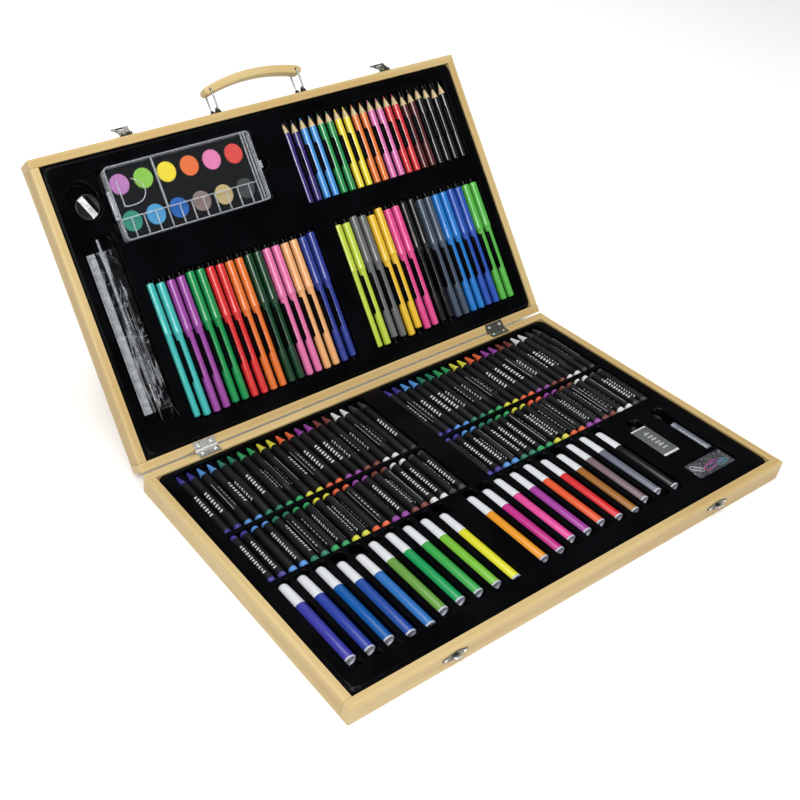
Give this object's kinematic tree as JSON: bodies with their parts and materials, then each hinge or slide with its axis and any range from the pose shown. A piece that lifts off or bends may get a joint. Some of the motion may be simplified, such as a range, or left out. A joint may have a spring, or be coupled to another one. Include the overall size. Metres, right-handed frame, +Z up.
{
  "type": "hinged art case",
  "caption": "Shallow hinged wooden case, open, with moulded trays that hold pens, pencils, crayons, pastels, markers and paints.",
  "frame": {"origin": "centre of the lower half's underside", "axes": "+X to the right along the hinge pins, +Y from the latch side to the hinge side, +Z up"},
  "size_m": [0.52, 0.544, 0.2806],
  "materials": {
    "rail_wood": "clear satin lacquer over pale straight-grained wood",
    "panel_wood": "thin plywood, sanded and lacquered",
    "tray_plastic": "thin vacuum-formed black sheet, soft gloss",
    "hinge_steel": "nickel-plated steel",
    "latch_metal": "dull plated steel",
    "foot_metal": "dark plated steel",
    "wire_steel": "bright plated wire",
    "grip_wood": "pale turned wood, satin lacquer",
    "pen_plastic": "coloured barrels, smooth gloss",
    "pen_cap_plastic": "coloured caps, smooth gloss",
    "pencil_lacquer": "coloured lacquer over wood, bare wood cone",
    "pencil_lead": "coloured wax lead",
    "sharpener_plastic": "moulded black plastic",
    "blade_steel": "ground steel",
    "paint_box_plastic": "clear moulded plastic",
    "paint_cake": "pressed watercolour, matt",
    "cover_plastic": "clear moulded plastic",
    "ruler_plastic": "clear acrylic with a frosted bevel",
    "brush_plastic": "clear moulded plastic",
    "ferrule_metal": "pressed aluminium",
    "bristle": "brown hair",
    "crayon_wax": "coloured wax, slight bloom",
    "crayon_paper": "printed paper wrapper",
    "pastel_wax": "coloured oil pastel",
    "pastel_paper": "printed paper wrapper",
    "marker_plastic": "coloured barrels, smooth gloss",
    "marker_white": "white moulded plastic",
    "marker_plug": "white moulded plastic, grey inside",
    "eraser_rubber": "white vinyl",
    "eraser_card": "printed card sleeve",
    "tube_plastic": "clear tube",
    "tube_plug_plastic": "pale plug",
    "bag_film": "thin clear film",
    "clip_vinyl": "vinyl-coated wire"
  },
  "bodies": {
    "base": {"base_rail_front": "rail_wood", "base_rail_back": "rail_wood", "base_rail_left": "rail_wood", "base_rail_right": "rail_wood", "base_panel": "panel_wood", "base_tray": "tray_plastic", "hinge_leaf_base_left": "hinge_steel", "hinge_leaf_base_right": "hinge_steel", "hinge_pins": "hinge_steel", "hinge_screws_base": "hinge_steel", "strike_left": "latch_metal", "strike_right": "latch_metal", "strike_screws": "latch_metal"},
    "lid": {"lid_rail_front": "rail_wood", "lid_rail_back": "rail_wood", "lid_rail_left": "rail_wood", "lid_rail_right": "rail_wood", "lid_panel": "panel_wood", "lid_tray": "tray_plastic", "hinge_leaf_lid_left": "hinge_steel", "hinge_leaf_lid_right": "hinge_steel", "hinge_screws_lid": "hinge_steel", "latch_plate_left": "latch_metal", "latch_plate_right": "latch_metal", "latch_screws": "latch_metal", "handle_foot_left": "foot_metal", "handle_foot_right": "foot_metal", "handle_screws": "foot_metal"},
    "latch_left": {"latch_lever_left": "latch_metal"},
    "latch_right": {"latch_lever_right": "latch_metal"},
    "wire_left": {"handle_wire_left": "wire_steel"},
    "wire_right": {"handle_wire_right": "wire_steel"},
    "grip": {"handle_grip": "grip_wood"},
    "felt_pens": {"felt_barrels": "pen_plastic", "felt_caps": "pen_cap_plastic"},
    "pencils": {"pencil_casings": "pencil_lacquer", "pencil_leads": "pencil_lead"},
    "sharpener": {"sharpener_body": "sharpener_plastic", "sharpener_blade": "blade_steel", "sharpener_screw": "blade_steel"},
    "palette": {"palette_tray": "paint_box_plastic", "paint_cakes": "paint_cake"},
    "palette_lid": {"palette_cover": "cover_plastic"},
    "brush": {"brush_handle": "brush_plastic", "brush_ferrule": "ferrule_metal", "brush_bristles": "bristle"},
    "ruler": {"ruler": "ruler_plastic"},
    "crayons": {"crayon_sticks": "crayon_wax", "crayon_wrappers": "crayon_paper"},
    "pastels": {"pastel_sticks": "pastel_wax", "pastel_wrappers": "pastel_paper"},
    "markers": {"marker_barrels": "marker_plastic", "marker_caps": "marker_white", "marker_plugs": "marker_plug"},
    "eraser": {"eraser_block": "eraser_rubber", "eraser_sleeve": "eraser_card"},
    "tube": {"clear_tube": "tube_plastic", "tube_plug": "tube_plug_plastic"},
    "clips": {"clip_bag": "bag_film", "paper_clips": "clip_vinyl"}
  },
  "joints": [
    {"name": "lid_hinge", "type": "hinge", "parent": "base", "child": "lid", "pos_m": [0, 0.1531, 0.022], "axis": [1, 0, 0], "range_deg": [0, 130]},
    {"name": "latch_left_swing", "type": "hinge", "parent": "lid", "child": "latch_left", "pos_m": [-0.155, 0.35303, 0.25591], "axis": [1, 0, 0], "range_deg": [0, 138]},
    {"name": "latch_right_swing", "type": "hinge", "parent": "lid", "child": "latch_right", "pos_m": [0.165, 0.35303, 0.25591], "axis": [1, 0, 0], "range_deg": [0, 138]},
    {"name": "handle_swing", "type": "hinge", "parent": "lid", "child": "wire_left", "pos_m": [-0.048, 0.36143, 0.25161], "axis": [0, -0.766, 0.6428], "range_deg": [-70, 70]},
    {"name": "handle_right_swing", "type": "hinge", "parent": "lid", "child": "wire_right", "pos_m": [0.058, 0.36143, 0.25161], "axis": [0, -0.766, 0.6428], "range_deg": [-70, 70]},
    {"name": "grip_turn", "type": "hinge", "parent": "wire_left", "child": "grip", "pos_m": [-0.048, 0.37512, 0.26792], "axis": [0, -0.766, 0.6428], "range_deg": [-70, 70]},
    {"name": "felt_pens_lift", "type": "slide", "parent": "lid", "child": "felt_pens", "axis": [0, 0.766, -0.6428], "range_m": [-0.03, 0]},
    {"name": "pencils_lift", "type": "slide", "parent": "lid", "child": "pencils", "axis": [0, 0.766, -0.6428], "range_m": [-0.03, 0]},
    {"name": "sharpener_lift", "type": "slide", "parent": "lid", "child": "sharpener", "axis": [0, 0.766, -0.6428], "range_m": [-0.03, 0]},
    {"name": "palette_lift", "type": "slide", "parent": "lid", "child": "palette", "axis": [0, 0.766, -0.6428], "range_m": [-0.03, 0]},
    {"name": "palette_lid_hinge", "type": "hinge", "parent": "palette", "child": "palette_lid", "pos_m": [-0.1927, 0.31552, 0.20592], "axis": [0, 0.6428, 0.766], "range_deg": [-100, 0]},
    {"name": "brush_lift", "type": "slide", "parent": "lid", "child": "brush", "axis": [0, 0.766, -0.6428], "range_m": [-0.03, 0]},
    {"name": "ruler_lift", "type": "slide", "parent": "brush", "child": "ruler", "axis": [0, 0.766, -0.6428], "range_m": [-0.03, 0]},
    {"name": "crayons_lift", "type": "slide", "parent": "base", "child": "crayons", "axis": [0, 0, -1], "range_m": [-0.03, 0]},
    {"name": "pastels_lift", "type": "slide", "parent": "base", "child": "pastels", "axis": [0, 0, -1], "range_m": [-0.03, 0]},
    {"name": "markers_lift", "type": "slide", "parent": "base", "child": "markers", "axis": [0, 0, -1], "range_m": [-0.03, 0]},
    {"name": "eraser_lift", "type": "slide", "parent": "base", "child": "eraser", "axis": [0, 0, -1], "range_m": [-0.03, 0]},
    {"name": "tube_lift", "type": "slide", "parent": "base", "child": "tube", "axis": [0, 0, -1], "range_m": [-0.03, 0]},
    {"name": "clips_lift", "type": "slide", "parent": "base", "child": "clips", "axis": [0, 0, -1], "range_m": [-0.03, 0]}
  ],
  "couplings": [
    {"joint": "handle_right_swing", "follows": "handle_swing", "ratio": 1},
    {"joint": "grip_turn", "follows": "handle_swing", "ratio": -1}
  ]
}
